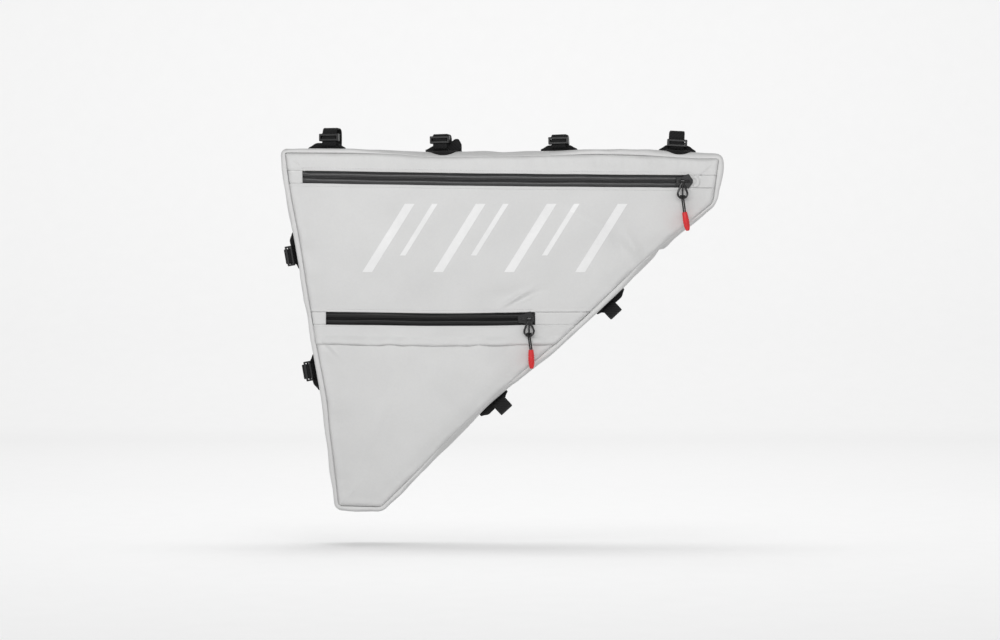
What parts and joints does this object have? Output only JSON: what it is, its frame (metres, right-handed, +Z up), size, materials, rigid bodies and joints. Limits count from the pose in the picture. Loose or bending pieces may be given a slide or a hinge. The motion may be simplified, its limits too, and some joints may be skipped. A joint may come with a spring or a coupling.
{
  "type": "bicycle frame bag",
  "caption": "Soft triangular bag for the space inside a bicycle frame, with zipped front pockets, hanging zip pulls and strap loops along its edges.",
  "frame": {"origin": "middle of the top of the bag, where it lies against the frame's top tube", "axes": "+X runs to the right along the top as seen from the zip side, +Z is up, +Y goes from the zip side to the plain back"},
  "size_m": [0.4824, 0.0815, 0.4195],
  "materials": {
    "bag_cloth": "light grey coated ripstop cloth",
    "back_cloth": "plain light grey cloth",
    "coated_zip": "black zip tape with a smooth water-resistant coating",
    "black_metal": "black painted metal",
    "cord": "thin black braided cord",
    "red_grip": "red moulded grip",
    "webbing": "black woven webbing",
    "buckle_plastic": "black moulded plastic"
  },
  "bodies": {
    "bag": {"gusset": "bag_cloth", "panel_top": "bag_cloth", "panel_main": "bag_cloth", "panel_lower": "bag_cloth", "fold_band": "bag_cloth", "upper_patch_left": "bag_cloth", "upper_patch_right": "bag_cloth", "lower_patch_left": "bag_cloth", "lower_patch_right": "bag_cloth", "zip_garage": "bag_cloth", "back_panel": "back_cloth", "upper_zip_tape_upper": "coated_zip", "upper_zip_tape_lower": "coated_zip", "upper_slider": "black_metal", "lower_zip_tape_upper": "coated_zip", "lower_zip_tape_lower": "coated_zip", "lower_slider": "black_metal", "left_1_patch": "webbing", "left_1_tab": "webbing", "left_1_webbing": "webbing", "left_1_buckle": "buckle_plastic", "left_2_patch": "webbing", "left_2_tab": "webbing", "left_2_webbing": "webbing", "left_2_buckle": "buckle_plastic", "slant_1_patch": "webbing", "slant_1_tab": "webbing", "slant_1_webbing": "webbing", "slant_2_patch": "webbing", "slant_2_tab": "webbing", "slant_2_webbing": "webbing", "top_1_patch": "webbing", "top_1_tab": "webbing", "top_1_webbing": "webbing", "top_1_buckle": "buckle_plastic", "top_2_patch": "webbing", "top_2_tab": "webbing", "top_2_webbing": "webbing", "top_2_buckle": "buckle_plastic", "top_3_patch": "webbing", "top_3_tab": "webbing", "top_3_webbing": "webbing", "top_3_buckle": "buckle_plastic", "top_4_patch": "webbing", "top_4_tab": "webbing", "top_4_webbing": "webbing", "top_4_buckle": "buckle_plastic"},
    "upper_pull": {"upper_puller": "black_metal", "upper_pull_cord": "cord", "upper_sleeve": "red_grip"},
    "lower_pull": {"lower_puller": "black_metal", "lower_pull_cord": "cord", "lower_sleeve": "red_grip"}
  },
  "joints": [
    {"name": "upper_pull_swing", "type": "hinge", "parent": "bag", "child": "upper_pull", "pos_m": [0.19539, -0.04211, -0.03465], "axis": [-1, 0, 0], "range_deg": [0, 150]},
    {"name": "lower_pull_swing", "type": "hinge", "parent": "bag", "child": "lower_pull", "pos_m": [0.02925, -0.0421, -0.18366], "axis": [-1, 0, 0], "range_deg": [0, 150]}
  ]
}
